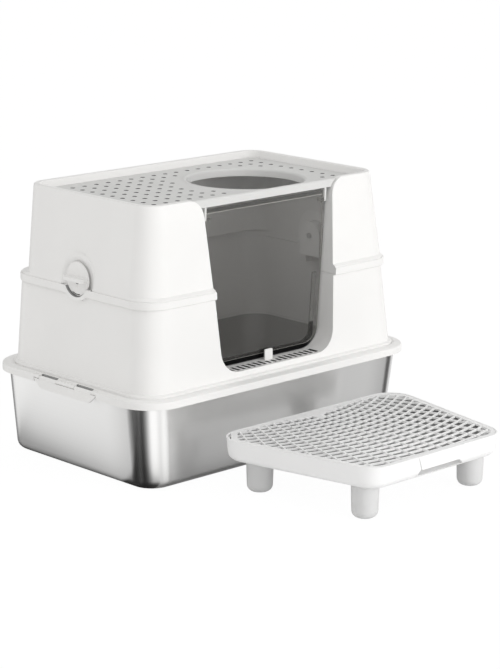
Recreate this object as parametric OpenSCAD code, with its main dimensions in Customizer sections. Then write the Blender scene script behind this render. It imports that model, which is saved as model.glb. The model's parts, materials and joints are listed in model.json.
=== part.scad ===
// Covered litter box: a deep-drawn steel pan, a clamped plastic collar, a two-storey
// tapered enclosure with a flap door and a round top entry, and a separate step with
// a fan-shaped grid over a catch tray.
// Millimetres. X runs along the long side, Y into the depth (the door faces -Y) and
// Z up. The origin is the middle of the pan's underside.

/* [Pan] */
// Length of the pan at its flat bottom
pan_len = 544; // [520:1:570]
// Distance from the box's middle to the front of the pan at its flat bottom
pan_front = 173.5; // [165:0.5:185]
// Distance from the box's middle to the pan's upright back
pan_back = 181; // [176:0.5:188]
// Height of the pan to the top of its flange
pan_h = 141; // [110:1:170]
// How far each end wall leans out over the pan's height
pan_lean_x = 17.1; // [8:0.1:25]
// How far the front wall leans out over the pan's height
pan_lean_y = 11.3; // [6:0.1:18]
// Corner radius of the pan at its bottom
pan_corner = 41; // [30:1:46]
// Corner radius of the pan at its top
pan_top_corner = 47; // [42:1:52]
// Radius between the pan's walls and its bottom
pan_round = 15; // [6:1:22]
// Thickness of the steel
pan_wall = 1; // [0.8:0.1:2]
// Width of the pan's turned-out flange
flange_w = 6; // [4:0.5:7]

/* [Collar] */
// Overhang of the collar past the pan's end walls
collar_side = 10.9; // [10.5:0.1:16]
// Overhang of the collar past the pan's front and back walls
collar_front = 15.2; // [10.5:0.1:20]
// Corner radius of the collar
collar_corner = 63; // [58:1:80]
// How far the collar's skirt hangs below the pan's flange
skirt_drop = 5; // [3:0.5:8]
// Height of the collar above the pan's flange
collar_rise = 7; // [6.5:0.5:10]
// Thickness of the collar's skirt
skirt_wall = 3.2; // [2:0.1:4]

/* [Side clips] */
// Length of each clip
clip_len = 152; // [110:1:170]
// Depthwise place of the clips' middle
clip_y = -3; // [-10:0.5:10]
// Length of each of a clip's two hinge knuckles
knuckle_len = 40; // [20:1:48]
// Depth of a clip below the collar's skirt
clip_drop = 9; // [5:0.5:14]
// Thickness of a clip's plate
clip_t = 3.4; // [2.5:0.1:4]
// Radius of a clip's hinge pin
clip_pin_r = 1.25; // [0.8:0.05:1.5]

/* [Lower shell] */
// Step in from the collar's end edge to the lower shell's wall
shell_in_x = 20.7; // [19:0.1:26]
// Step in from the collar's front edge to the lower shell's wall
shell_in_y = 22; // [19:0.1:28]
// Height of the lower shell's wall above the collar
shell_h = 134.8; // [110:1:160]
// How far the lower shell's ends lean in
shell_lean_x = 12.3; // [6:0.1:18]
// How far the lower shell's front leans in; its back stands upright
shell_lean_y = 10.6; // [6:0.1:16]
// Distance from the box's middle to the lower shell's back
shell_back = 169; // [164:0.5:172]
// Corner radius of the lower shell
shell_corner = 42; // [36:1:50]
// Wall thickness of both shells
wall = 3; // [2:0.1:3.6]
// Height of the band round the top of the lower shell
band_h = 12.7; // [9:0.1:18]
// How far the band stands out of the wall
band_out = 4.9; // [4:0.1:7]

/* [Cover shell] */
// Height of the cover shell above the band
cover_h = 144.3; // [120:1:170]
// How far the cover's ends lean in
cover_lean_x = 18; // [10:0.1:24]
// How far the cover's front leans in; its back stands upright
cover_lean_y = 14; // [8:0.1:20]
// Corner radius at the top of the cover
cover_corner = 34; // [28:1:42]
// Width of the cover's top rim
curb_w = 10.5; // [8:0.1:14]
// Depth of the lid's top face below the rim
lid_drop = 12.3; // [8:0.1:18]

/* [Door opening] */
// Width of the door opening at the top of the lower shell
open_w = 261; // [220:1:280]
// Height of the sill above the collar
sill_h = 13.8; // [11:0.1:24]
// Lean of the opening's sides, in mm a mm
open_lean = 0.075; // [0.04:0.005:0.1]
// Radius of the opening's bottom corners
open_r = 37; // [25:1:45]
// Radius where the opening turns into the top rim
open_top_r = 30; // [20:1:34]
// Thickness of the jambs and the sill
jamb_t = 2.8; // [2:0.1:3.5]
// Depth of a slot in the sill
slot_len = 20; // [12:1:24]
// Width of a slot in the sill
slot_w = 5.6; // [3:0.1:6]
// Distance from one slot to the next
slot_pitch = 11.5; // [8:0.1:14]

/* [Lid] */
// Thickness of the lid plate
lid_t = 3; // [2:0.1:4]
// Diameter of the top entry
entry_d = 203; // [170:1:210]
// Sideways place of the top entry's middle
entry_x = 78; // [60:1:90]
// Depthwise place of the top entry's middle
entry_y = -14; // [-16:1:0]
// Height of the skirt that hangs round the top entry
entry_skirt = 12; // [9:1:24]
// Diameter of a drain hole
drain_d = 8; // [5:0.5:10]
// Distance between drain holes
drain_pitch = 24.6; // [20:0.1:30]
// Height of the bar over the door
bar_h = 13; // [8:0.1:13]
// Thickness of the bar over the door
bar_t = 8; // [6:0.1:9]

/* [Door] */
// Thickness of the door panel
door_t = 3; // [2:0.1:4]
// Gap between the door and the jamb
door_gap = 6.5; // [5:0.1:9]
// Radius of the door's bottom corners
door_r = 30; // [20:1:36]
// Gap between the door's bottom edge and the sill
door_lift = 9.7; // [7:0.1:12]
// Radius of the door's hinge pins
door_pin_r = 1.5; // [1:0.1:2]
// Height of the hinge pins below the lid's underside
hinge_drop = 19.5; // [17:0.5:22]
// Width of the latch tab
latch_w = 17; // [14:0.1:26]
// Travel of the latch tab
latch_travel = 11; // [8:0.5:12]

/* [Locks] */
// Diameter of a lock knob
knob_d = 54.4; // [48:0.2:58]
// Height of a knob's middle above the band
knob_up = 13.5; // [11:0.5:16]
// Diameter of the scoop round a knob
scoop_d = 82; // [74:1:90]
// Radius of a knob's shaft
shaft_r = 5; // [4:0.1:6]
// Length of the lock cam from the shaft's middle
cam_len = 14.5; // [13:0.1:15]

/* [Step] */
// Width of the step's tray at its back
step_back = 384; // [350:1:400]
// Width of the step's tray at its front
step_front = 314; // [290:1:340]
// Depth of the step's tray
step_dep = 289; // [260:1:310]
// Height of the step's top
step_h = 88.5; // [75:0.5:100]
// Height of the tray's wall
tray_h = 35.5; // [30:0.5:42]
// Corner radius of the tray
tray_corner = 40; // [30:1:46]
// Wall thickness of the tray
tray_wall = 2.6; // [2:0.1:3.2]
// Gap between the collar and the step
step_gap = 28.5; // [15:0.5:60]
// Sideways place of the step's middle
step_x = 9.5; // [-40:1:40]
// Diameter of a leg
leg_d = 43.5; // [34:0.5:46]
// Distance from the tray's front or back edge to the middle of a leg
leg_in = 45.5; // [42:0.5:56]
// Distance from the tray's side to the middle of a front leg
leg_in_front = 44.5; // [38:0.5:56]
// Distance from the tray's side to the middle of a back leg
leg_in_back = 42; // [38:0.5:56]
// Thickness of the grid
grid_t = 3; // [2.4:0.1:6]
// Distance between the grid's curved ribs
arc_pitch = 15; // [12:0.5:20]
// Angle between the grid's straight ribs
fan_angle = 3.1; // [2.4:0.1:4.2]
// Width of a grid rib
rib_w = 2.4; // [2:0.1:4]
// Distance from the tray's middle to the middle of the grid's arcs
fan_reach = 407; // [380:1:480]
// Width of the plain pad at the back of the grid
pad_w = 104; // [80:1:130]

/* [Hidden] */
$fn = 64;
seg = 10;           // facets in each quarter-round corner
eps = 0.05;
seat = 0.3;         // gap between pieces that lift apart
run = 0.05;         // radial clearance of a running fit
over = 60;          // overrun of cutting shapes

// pan
pan_top_len = pan_len + 2 * pan_lean_x;
pan_top_y = pan_front + pan_lean_y;     // front of the pan at its top
curl_h = 3.5;       // height of the flange's turned-down edge
z_curl = pan_h - curl_h;

// collar and its levels
collar_len = pan_top_len + 2 * collar_side;
collar_y = pan_top_y + collar_front;    // front of the collar
collar_back = pan_back + collar_front;
z_skirt = pan_h - skirt_drop;
z_collar = pan_h + collar_rise;
z_seat = pan_h + seat + 3.2;

// lower shell
shell_len = collar_len - 2 * shell_in_x;
shell_y = collar_y - shell_in_y;        // front of the lower shell at its foot
foot_out = 4.4;     // width of the foot bead
foot_top = 4.4;     // height of the foot bead above the collar
shell_top_len = shell_len - 2 * shell_lean_x;
shell_top_y = shell_y - shell_lean_y;
z_band = z_collar + shell_h;
z_band_top = z_band + band_h;
z_ledge = z_band + 2.1;
band_len = shell_top_len + 2 * band_out;
band_y = shell_top_y + band_out;
band_flush = 0.8;   // how far the band stands out at the back
band_wall = 2;

// cover shell
plug_in = band_wall + seat;
shoulder_x = 1.6;
shoulder_y = 5.6;
shoulder_h = 5;
cover_len = band_len - 2 * plug_in - 2 * shoulder_x;
cover_y = band_y - plug_in - shoulder_y;
cover_top_y = cover_y - cover_lean_y;   // and the cover's upright back
base_corner = shell_corner;
z_plug = z_ledge + seat;
z_cover = z_band_top + shoulder_h;
z_top = z_band_top + cover_h;
z_lid = z_top - lid_drop;
z_shelf = z_lid - lid_t - seat;
shelf_w = 7;
shelf_t = 3;
drain_end = 28;     // plain margin of the lid at its ends
drain_back = 26;    // plain margin at its back
drain_front = 24;   // plain margin at its front
drain_clear = 13;   // plain ring round the top entry

// door opening, as half widths
z_sill = z_collar + sill_h;
lean_len = sqrt(1 + open_lean * open_lean);
lean_deg = atan(open_lean);
slot_over = 9;      // how far the row of slots runs into the sill's round corners
slot_in_sill = 7;   // plain front edge of the sill
jamb_depth = 39;    // from the shell's face to the back of the sill
y_jamb = jamb_depth - shell_y + (sill_h / shell_h) * shell_lean_y;

// door and hinge
y_hinge = y_jamb - 4.5;
z_hinge = z_lid - lid_t - hinge_drop;
z_door = z_sill + door_lift;
z_door_top = z_lid - lid_t - 3.2;
lug_t = 4;
lug_in = 6.5;       // gap between the hinge lugs and the jamb
seal_t = 2.4;
seal_w = 8.5;
seal_in = 6.5;      // from the door's edge to the seal's legs
seal_lip = 7.6;     // reach of the seal below the door
seal_block = 6;     // height of its block behind the latch, above the door's edge

// latch
latch_t = 3;
latch_gap = 6;      // from the door's face to the latch
latch_h = 17.6;     // height of the raised tab above the sill
y_latch = y_hinge - door_t / 2 - latch_gap - latch_t / 2;
latch_root = 8;     // length of the latch below the sill
latch_pip = 1.6;    // how far its stops stand out at each side
guide_wall = 2.4;
z_latch = z_sill - jamb_t - latch_root;

// locks, given for the right side and mirrored for the left
z_knob = z_band_top + knob_up;
scoop_r = scoop_d / 2;
x_floor = cover_len / 2 - cover_lean_x * (z_knob + scoop_r - z_cover) / (z_top - z_cover);
x_band = band_len / 2;
knob_t = 2.6;
knob_in = 3.8;      // from the band's face in to the knob's face
knob_gap = 1.4;
cup_rim = 6;
slot_in = 7.5;      // from the recess's edge to the slot in its floor
x_knob = x_band - knob_in - knob_t;
x_cam = x_floor - wall - 8.5;
cam_t = 4;
cam_w = 6;
hub_r = 8;
hook_w = 3;
hook_root = 26;     // how far down the lower shell's wall a hook starts
x_case = x_cam - 8;
case_w = 47;
case_wall = 2;

// step
y_step = -collar_y - step_gap - step_dep / 2;
z_tray = step_h - tray_h;
tray_round = 12;
grid_gap = 0.4;
tab_w = 100;
tab_narrow = 16;
tab_h = 22;
notch_h = 9;
cut_reach = 9.6;    // depth of the tab's cut from the tray's front face
screw_r = 2;
boss_r = 7;         // tray's bosses that the legs screw into
boss_h = 9;
leg_bore_r = 5;     // way for the screwdriver up through a leg
leg_hollow_r = 6;
leg_wall = 8;
head_r = 4.2;
head_h = 2.8;
grid_corner = 22;   // width of the grid's cut-off back corners
corner_slope = 0.9;
fan_spread = 40;    // angle from the middle that the grid's ribs are drawn to

// ---- shared shapes ------------------------------------------------------------

// A section is [length, front, back, corner, height], with its front and back given as
// distances from the middle. ring() is its outline, and grow() steps it out all round.
function ring(s) = let (r = s[3]) [for (c = [0 : 3]) for (k = [0 : seg])
    let (a = 90 * (c + k / seg), sx = [1, -1, -1, 1][c])
    [sx * (s[0] / 2 - r) + r * cos(a), (c < 2 ? s[2] - r : r - s[1]) + r * sin(a), s[4]]];
function grow(s, out, z) = [s[0] + 2 * out, s[1] + out, s[2] + out, s[3] + out, z];

// Sections stepped in by a hair, so that a lining ends just inside the skin it backs
function inset(sections) = [for (s = sections) grow(s, -2 * eps, s[4])];

// The two triangles between points j and j + 1 of rings a and b of n points
function strip(a, b, j, n) = let (k = (j + 1) % n)
    [[b * n + j, b * n + k, a * n + k], [b * n + j, a * n + k, a * n + j]];

// Solid skinned over sections that rise from first to last
module loft(sections) {
    n = 4 * (seg + 1);
    last = len(sections) - 1;
    polyhedron(
        points = [for (s = sections) each ring(s)],
        faces = concat([[for (j = [0 : n - 1]) j]],
            [for (i = [0 : last - 1]) for (j = [0 : n - 1]) each strip(i, i + 1, j, n)],
            [[for (j = [n - 1 : -1 : 0]) last * n + j]]));
}

// Closed frame whose cross-section runs up its outside and down its inside
module frame(sections) {
    n = 4 * (seg + 1);
    m = len(sections);
    polyhedron(
        points = [for (s = sections) each ring(s)],
        faces = [for (i = [0 : m - 1]) for (j = [0 : n - 1]) each strip(i, (i + 1) % m, j, n)]);
}

function arc(cx, cz, r, a0, a1, n) = [for (k = [0 : n])
    let (a = a0 + (a1 - a0) * k / n) [cx + r * cos(a), cz + r * sin(a)]];

function mirrored(right) = concat(right, [for (k = [len(right) - 1 : -1 : 0]) [-right[k][0], right[k][1]]]);

// Half width of the door opening at height z
function open_half(z) = open_w / 2 + open_lean * (z - z_band);

// Outline of the door opening, grown by g, in X and Z
function opening(g) = mirrored(concat(
    arc(open_half(z_sill + open_r) + g - (open_r + g) * lean_len, z_sill + open_r, open_r + g,
        -90, -lean_deg, 8),
    arc(open_half(z_top - open_top_r) + g + (open_top_r - g) * lean_len, z_top - open_top_r + eps,
        open_top_r - g, 180 - lean_deg, 90, 8),
    [[open_half(z_top) + open_top_r, z_top + over]]));

// Outline in X and Z, drawn through Y from y0 to y1
module through(y0, y1) {
    translate([0, y1, 0]) rotate([90, 0, 0]) linear_extrude(y1 - y0) children();
}

module door_way(g) {
    through(-2 * collar_y, 0) polygon(opening(g));
}

// Cylinder along X from x0 to x1
module bar_x(x0, x1, r, y, z) {
    translate([x0, y, z]) rotate([0, 90, 0]) cylinder(r = r, h = x1 - x0);
}

// Box from one corner to the other
module block(a, b) {
    translate(a) cube(b - a);
}

// Side pieces are drawn for the right side; side = -1 gives the left one
module on_side(side) {
    mirror([side < 0 ? 1 : 0, 0, 0]) children();
}

// ---- pan ----------------------------------------------------------------------

// Section of the pan's outside, stepped in by t, at height z
function pan_at(z, t) = let (f = z / pan_h)
    [pan_len + 2 * pan_lean_x * f - 2 * t, pan_front + pan_lean_y * f - t, pan_back - t,
     pan_corner + (pan_top_corner - pan_corner) * f - t, z];

function pan_foot(t) = [for (k = [0 : 5]) let (a = 90 * k / 5, r = pan_round - t)
    grow(pan_at(pan_round, t), -r * (1 - sin(a)), pan_round - r * cos(a))];

module steel_pan() {
    top = pan_at(pan_h, 0);
    lip = 1.5;
    color("silver") loft(concat(pan_foot(0),
        [pan_at(pan_h - pan_wall, 0),
         grow(top, flange_w - lip - pan_wall, pan_h - pan_wall),
         grow(top, flange_w - pan_wall, pan_h - pan_wall - lip),
         grow(top, flange_w - pan_wall, z_curl),
         grow(top, flange_w, z_curl),
         grow(top, flange_w, pan_h - lip),
         grow(top, flange_w - lip, pan_h),
         grow(top, -pan_wall, pan_h)],
        [for (k = [5 : -1 : 0]) pan_foot(pan_wall)[k]]));
}

// ---- collar and clips ---------------------------------------------------------

x_pin = collar_len / 2 - 3;
z_pin = z_collar - 3.6;
knuckle_r = 2.6;
knuckle_y = 23.5;   // start of a knuckle from the clip's middle
finger_gap = 5.8;   // from the pin in to the back of the slot over a knuckle

module collar() {
    rim = [collar_len, collar_y, collar_back, collar_corner, 0];
    foot = shell_at(z_collar, 0);
    color("whitesmoke") difference() {
        union() {
            difference() {
                frame([grow(rim, 0, z_skirt), grow(rim, 0, z_collar - 2.8),
                    grow(rim, -0.8, z_collar - 1), grow(rim, -2.6, z_collar - 0.1),
                    grow(foot, foot_out + 4.6, z_collar + 1.2),
                    grow(foot, foot_out + 3, z_collar + 0.4),
                    grow(foot, foot_out + 1.6, z_collar - 0.6),
                    grow(foot, foot_out + seat, z_collar - 0.6),
                    grow(foot, foot_out + seat, z_seat), grow(foot, -wall, z_seat),
                    grow(foot, -wall, pan_h + seat),
                    grow(rim, -skirt_wall, pan_h + seat), grow(rim, -skirt_wall, z_skirt)]);
                for (s = [-1, 1]) clip_side(s) {
                    block([x_pin - 3.3, -clip_len / 2 - 0.6, z_skirt - 1],
                          [x_pin + 9, clip_len / 2 + 0.6, z_collar + 3]);
                    for (y = [knuckle_y, -knuckle_y - knuckle_len])
                        block([x_pin - finger_gap, y - 0.3, z_skirt - 1],
                              [x_pin, y + knuckle_len + 0.3, z_collar + 3]);
                }
            }
            for (s = [-1, 1]) clip_side(s) clip_lugs();
        }
        for (s = [-1, 1]) clip_side(s) pin_hole(clip_len / 2 + 4);
    }
}

// A clip and its seat on one side of the box
module clip_side(side) {
    on_side(side) translate([0, clip_y, 0]) children();
}

// Lugs of the collar that carry a clip's pin: one in the middle and one at each end
module clip_lugs() {
    spans = [[-knuckle_y + 0.6, knuckle_y - 0.6],
        [knuckle_y + knuckle_len + 0.6, clip_len / 2 + 1.6],
        [-clip_len / 2 - 1.6, -knuckle_y - knuckle_len - 0.6]];
    for (v = spans) {
        translate([x_pin, v[1], z_pin]) rotate([90, 0, 0]) cylinder(r = knuckle_r + 0.3, h = v[1] - v[0]);
        block([x_pin - 5, v[0], z_pin - knuckle_r], [x_pin, v[1], z_pin + knuckle_r + 0.3]);
    }
}

module pin_hole(half) {
    translate([x_pin, half, z_pin]) rotate([90, 0, 0]) cylinder(r = clip_pin_r + run, h = 2 * half);
}

module clip(side) {
    x0 = x_pin - 0.2;
    top = z_pin - knuckle_r - 0.4;
    foot_z = z_skirt - clip_drop;
    slant = 16;     // width of the sloped cut at each bottom corner
    end = clip_len / 2;
    color("whitesmoke") clip_side(side) difference() {
        union() {
            translate([x0, 0, 0]) rotate([90, 0, 90]) linear_extrude(clip_t)
                polygon(mirrored([[end - slant - 1.5, foot_z], [end - slant + 0.8, foot_z + 1],
                    [end - 0.8, top - 2], [end, top - 0.8], [end, top]]));
            for (s = [-1, 1]) {
                y0 = s > 0 ? knuckle_y : -knuckle_y - knuckle_len;
                translate([x_pin, y0 + knuckle_len, z_pin]) rotate([90, 0, 0])
                    cylinder(r = knuckle_r, h = knuckle_len);
                block([x0, y0, top - 1], [x0 + 2.7, y0 + knuckle_len, z_pin]);
            }
            block([x0 - 6, -clip_len / 2 + 11, z_curl - 2.8], [x0 + 0.5, clip_len / 2 - 11, z_curl - seat]);
        }
        pin_hole(clip_len);
    }
}

module clip_pins() {
    color("dimgray") for (s = [-1, 1]) clip_side(s)
        translate([x_pin, clip_len / 2 + 3, z_pin]) rotate([90, 0, 0])
            cylinder(r = clip_pin_r, h = clip_len + 6);
}

// ---- lower shell --------------------------------------------------------------

// Section of the lower shell's outside, stepped in by t, at height z
function shell_at(z, t) = let (f = (z - z_collar) / shell_h)
    [shell_len - 2 * shell_lean_x * f - 2 * t, shell_y - shell_lean_y * f - t,
     shell_back - t, shell_corner - t, z];

// Section of the band, stepped in by t, at height z
function band_at(z, t) = [band_len - 2 * t, band_y - t,
    shell_back + band_flush - t, shell_corner + band_out - t, z];

function shell_outside() = let (foot = shell_at(z_collar, 0))
    [grow(foot, foot_out, z_seat + seat), grow(foot, foot_out, z_collar + foot_top - 1.2),
     grow(foot, foot_out - 1.2, z_collar + foot_top), shell_at(z_collar + foot_top + 1, 0),
     shell_at(z_band, 0), band_at(z_band + 0.5, 0.7),
     band_at(z_band + 1.6, 0), band_at(z_band_top - 1, 0), band_at(z_band_top, 0.7)];

module lower_shell() {
    color("whitesmoke") difference() {
        union() {
            difference() {
                union() {
                    frame(concat(shell_outside(),
                        [band_at(z_band_top, band_wall), band_at(z_ledge, band_wall),
                         shell_at(z_ledge, wall), shell_at(z_seat + seat, wall)]));
                    intersection() {
                        jamb(z_sill - jamb_t, z_ledge - eps);
                        loft(inset(shell_outside()));
                    }
                }
                door_way(0);
            }
            latch_guide();
            for (s = [-1, 1]) on_side(s) {
                knob_cup();
                lock_hook();
            }
        }
        for (s = [-1, 1]) on_side(s) bar_x(x_knob - 0.6, x_band + over, knob_d / 2 + knob_gap, 0, z_knob);
        sill_slots();
        latch_window();
    }
}

// Block that the door way is cut through to leave its lining, between two heights
module jamb(z0, z1) {
    through(-2 * collar_y, y_jamb) intersection() {
        polygon(opening(jamb_t));
        translate([-collar_len / 2, z0]) square([collar_len, z1 - z0]);
    }
}

// Raised cup of the band under a knob
module knob_cup() {
    intersection() {
        bar_x(x_knob - 2.2, x_band, knob_d / 2 + knob_gap + cup_rim, 0, z_knob);
        block([0, -over, 0], [collar_len, over, z_band_top]);
    }
}

// Hook on the lower shell that the lock cam turns under
module lock_hook() {
    y0 = cam_len + 1.3;
    z_hook = z_knob + cam_w / 2 + 0.6;
    block([x_cam, y0, z_ledge - hook_root], [shell_top_len / 2 - wall + 1, y0 + hook_w, z_ledge - seat]);
    block([x_cam, y0, z_ledge - hook_root], [x_cam + cam_t, y0 + hook_w, z_hook + hook_w]);
    block([x_cam, y0 - 7, z_hook], [x_cam + cam_t, y0 + 1, z_hook + hook_w]);
}

// Slots across the sill; those in front of the latch stop short of its guide
module sill_slots() {
    half = open_half(z_sill) - open_r + slot_over;
    count = floor(half / slot_pitch);
    y0 = y_jamb - jamb_depth + slot_in_sill;
    guide = latch_w / 2 + latch_pip + guide_wall + 1;
    for (k = [-count : count]) let (x = k * slot_pitch,
        y1 = abs(x) > guide + slot_w / 2 ? y0 + slot_len : min(y0 + slot_len, y_latch - latch_t / 2 - guide_wall - 0.8))
        block([x - slot_w / 2, y0, z_sill - jamb_t - 1], [x + slot_w / 2, y1, z_sill + 2.5]);
}

module latch_guide() {
    w = latch_w / 2 + latch_pip + guide_wall;
    block([-w, y_latch - latch_t / 2 - guide_wall, z_latch - latch_travel - guide_wall],
          [w, y_latch + latch_t / 2 + guide_wall, z_sill - jamb_t + 1]);
}

module latch_window() {
    w = latch_w / 2 + seat;
    z0 = z_latch - latch_travel - seat;
    block([-w, y_latch - latch_t / 2 - seat, z0], [w, y_latch + latch_t / 2 + seat, z_sill + 1]);
    block([-w - latch_pip, y_latch - latch_t / 2 - seat, z0],
          [w + latch_pip, y_latch + latch_t / 2 + seat, z_sill - jamb_t]);
}

// ---- cover shell --------------------------------------------------------------

// Section of the cover's outside, stepped in by t, at height z
function cover_at(z, t) = let (f = (z - z_cover) / (z_top - z_cover))
    [cover_len - 2 * cover_lean_x * f - 2 * t, cover_y - cover_lean_y * f - t,
     cover_top_y - t, base_corner + (cover_corner - base_corner) * f - t, z];

function cover_outside() = let (rim = cover_at(z_top, 0))
    [band_at(z_plug, plug_in), band_at(z_band_top + 1.2, plug_in),
     band_at(z_band_top + 2.2, plug_in + 0.8), cover_at(z_cover, 0),
     cover_at(z_top - 5, 0), grow(rim, 0, z_top - 2.6), grow(rim, -0.8, z_top - 1), grow(rim, -2.6, z_top)];

function cover_inside() = let (rim = cover_at(z_top, 0))
    [grow(rim, 2.8 - curb_w, z_top), grow(rim, 1 - curb_w, z_top - 1),
     grow(rim, 0.3 - curb_w, z_top - 3), grow(rim, -curb_w - 0.5, z_shelf),
     grow(rim, -curb_w - shelf_w, z_shelf), grow(rim, -curb_w - shelf_w, z_shelf - shelf_t),
     cover_at(z_shelf - shelf_t - curb_w - shelf_w + wall, wall), cover_at(z_cover - wall, wall),
     band_at(z_band_top - wall, plug_in + wall), band_at(z_plug, plug_in + wall)];

module upper_shell() {
    color("whitesmoke") difference() {
        union() {
            difference() {
                frame(concat(cover_outside(), cover_inside()));
                for (s = [-1, 1]) on_side(s) bar_x(x_floor, x_floor + over, scoop_r, 0, z_knob);
            }
            intersection() {
                union() {
                    jamb(z_plug + eps, z_shelf - shelf_t);
                    for (s = [-1, 1]) on_side(s) scoop();
                }
                loft(inset(cover_outside()));
            }
        }
        door_way(0);
        for (s = [-1, 1]) on_side(s) {
            bar_x(x_floor - over / 2, x_floor + over, shaft_r + run, 0, z_knob);
            scoop_slot();
        }
    }
}

// Slot in the floor of the recess beside the knob
module scoop_slot() {
    y0 = slot_in - scoop_r;
    block([x_floor - wall - 1, y0, z_band_top + 1], [x_floor + 1, y0 + 5, z_band_top + 26]);
}

// Recess round a knob, with a flat floor that the knob turns on
module scoop() {
    difference() {
        intersection() {
            bar_x(x_floor - wall, x_floor + over, scoop_r + wall, 0, z_knob);
            block([0, -over, z_plug], [collar_len, over, z_top]);
        }
        bar_x(x_floor, x_floor + over + 1, scoop_r, 0, z_knob);
    }
}

// ---- lid ----------------------------------------------------------------------

module lid_plate() {
    plate = grow(cover_at(z_top, 0), -curb_w - 0.5 - seat, 0);
    under = z_lid - lid_t;
    color("gainsboro") difference() {
        union() {
            translate([0, 0, under]) linear_extrude(lid_t) difference() {
                polygon([for (p = ring(plate)) [p[0], p[1]]]);
                translate([entry_x, entry_y]) circle(r = entry_d / 2 - 1);
                drain_holes(plate);
            }
            translate([entry_x, entry_y, 0]) entry_lip();
            lid_bar();
            for (s = [-1, 1]) on_side(s) hinge_lug();
        }
        for (s = [-1, 1]) on_side(s) bar_x(open_half(z_hinge) - over, open_half(z_hinge) + over,
            door_pin_r + run, y_hinge, z_hinge);
    }
}

// Square field of drain holes that stops short of the entry and the lid's edges
module drain_holes(plate) {
    nx = floor((plate[0] / 2 - drain_end) / drain_pitch - 0.5);
    ny = floor((plate[2] - drain_back) / drain_pitch - 0.5);
    for (i = [-nx - 1 : nx]) for (j = [-ny - 1 : ny]) {
        x = (i + 0.5) * drain_pitch;
        y = (j + 0.5) * drain_pitch;
        if (norm([x - entry_x, y - entry_y]) > entry_d / 2 + drain_d / 2 + drain_clear
            && y > drain_front - plate[1])
            translate([x, y]) circle(d = drain_d, $fn = 24);
    }
}

// Rolled edge and hanging skirt of the top entry
module entry_lip() {
    r = entry_d / 2;
    t = 2.6;
    rotate_extrude($fn = 96) translate([r, 0]) difference() {
        polygon(concat([[-t - 3, z_lid - entry_skirt], [-3, z_lid - entry_skirt],
            [0, z_lid - lid_t - 3], [6, z_lid - lid_t], [6, z_lid]],
            arc(0, z_lid - 3.6, 4.6, 60, 180, 8), [[-t - 2.8, z_lid - 8]]));
    }
}

// Bar that closes the rim over the door
module lid_bar() {
    y0 = y_hinge - 4.5;
    z0 = z_lid - lid_t;
    r = bar_t / 2;
    intersection() {
        door_way(-1);
        translate([-collar_len / 2, 0, 0]) rotate([90, 0, 90]) linear_extrude(collar_len)
            polygon(concat([[y0, z0]], arc(y0 + r, z0 + bar_h - r, r, 180, 0, 12),
                [[y0 + bar_t, z_lid], [y0 + bar_t + 5, z_lid], [y0 + bar_t + 5, z0]]));
    }
}

// Where a hinge lug's inner face stands
x_lug = open_half(z_hinge) - lug_in - lug_t;

module hinge_lug() {
    r = 3.4;
    translate([x_lug, 0, 0]) rotate([90, 0, 90]) linear_extrude(lug_t)
        polygon(concat(arc(y_hinge, z_hinge, r, 180, 360, 12),
            [[y_hinge + 9, z_lid - lid_t + eps], [y_hinge - 4, z_lid - lid_t + eps]]));
}

module hinge_pins() {
    color("dimgray") for (s = [-1, 1]) on_side(s)
        bar_x(x_lug - 9, x_lug + lug_t, door_pin_r, y_hinge, z_hinge);
}

// ---- door ---------------------------------------------------------------------

// Half width of the door at height z
function door_half(z) = min(open_half(z) - door_gap, x_lug - 2.2);

// Outline of the flap, stepped in by t at its sides, with its bottom at zb
function flap(t, zb, r, zt) = let (z_bend = z_band + (x_lug - 2.2 + door_gap - open_w / 2) / open_lean)
    mirrored(concat(
    arc(door_half(zb + r) - t - r * lean_len, zb + r, r, -90, -lean_deg, 8),
    zt > z_bend ? [[door_half(z_bend) - t, z_bend]] : [], [[door_half(zt) - t, zt]]));

module door_panel() {
    color([0.45, 0.44, 0.42, 0.75]) difference() {
        union() {
            through(y_hinge - door_t / 2, y_hinge + door_t / 2)
                polygon(flap(0, z_door, door_r, z_door_top));
            for (s = [-1, 1]) on_side(s)
                bar_x(x_lug - 10, x_lug - 0.6, 4, y_hinge, z_hinge);
        }
        for (s = [-1, 1]) on_side(s)
            bar_x(x_lug - 9.3, x_lug, door_pin_r + run, y_hinge, z_hinge);
    }
}

// Black strip on the back of the door: two legs, a lip that closes the gap to the sill
// and a raised block behind the latch
module door_seal() {
    y0 = y_hinge + door_t / 2;
    color([0.06, 0.06, 0.06]) through(y0, y0 + seal_t) {
        difference() {
            polygon(flap(seal_in, z_door - seal_lip, door_r - 4, z_band + 4));
            polygon(flap(seal_in + seal_w, z_door + 4.5, door_r - 10, z_band + 5));
        }
        translate([-latch_w / 2, z_door - 1]) square([latch_w, seal_block + 1]);
    }
}

module latch_tab() {
    z0 = z_sill - jamb_t;
    color("white") union() {
        translate([0, y_latch + latch_t / 2, 0]) rotate([90, 0, 0]) linear_extrude(latch_t)
            polygon(mirrored(concat([[latch_w / 2, z_latch]],
                arc(latch_w / 2 - 2.5, z_sill + latch_h - 2.5, 2.5, 0, 90, 5))));
        block([-latch_w / 2 - latch_pip, y_latch - latch_t / 2, z0 - 3.3],
              [latch_w / 2 + latch_pip, y_latch + latch_t / 2, z0 - seat]);
    }
}

// ---- locks --------------------------------------------------------------------

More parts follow.
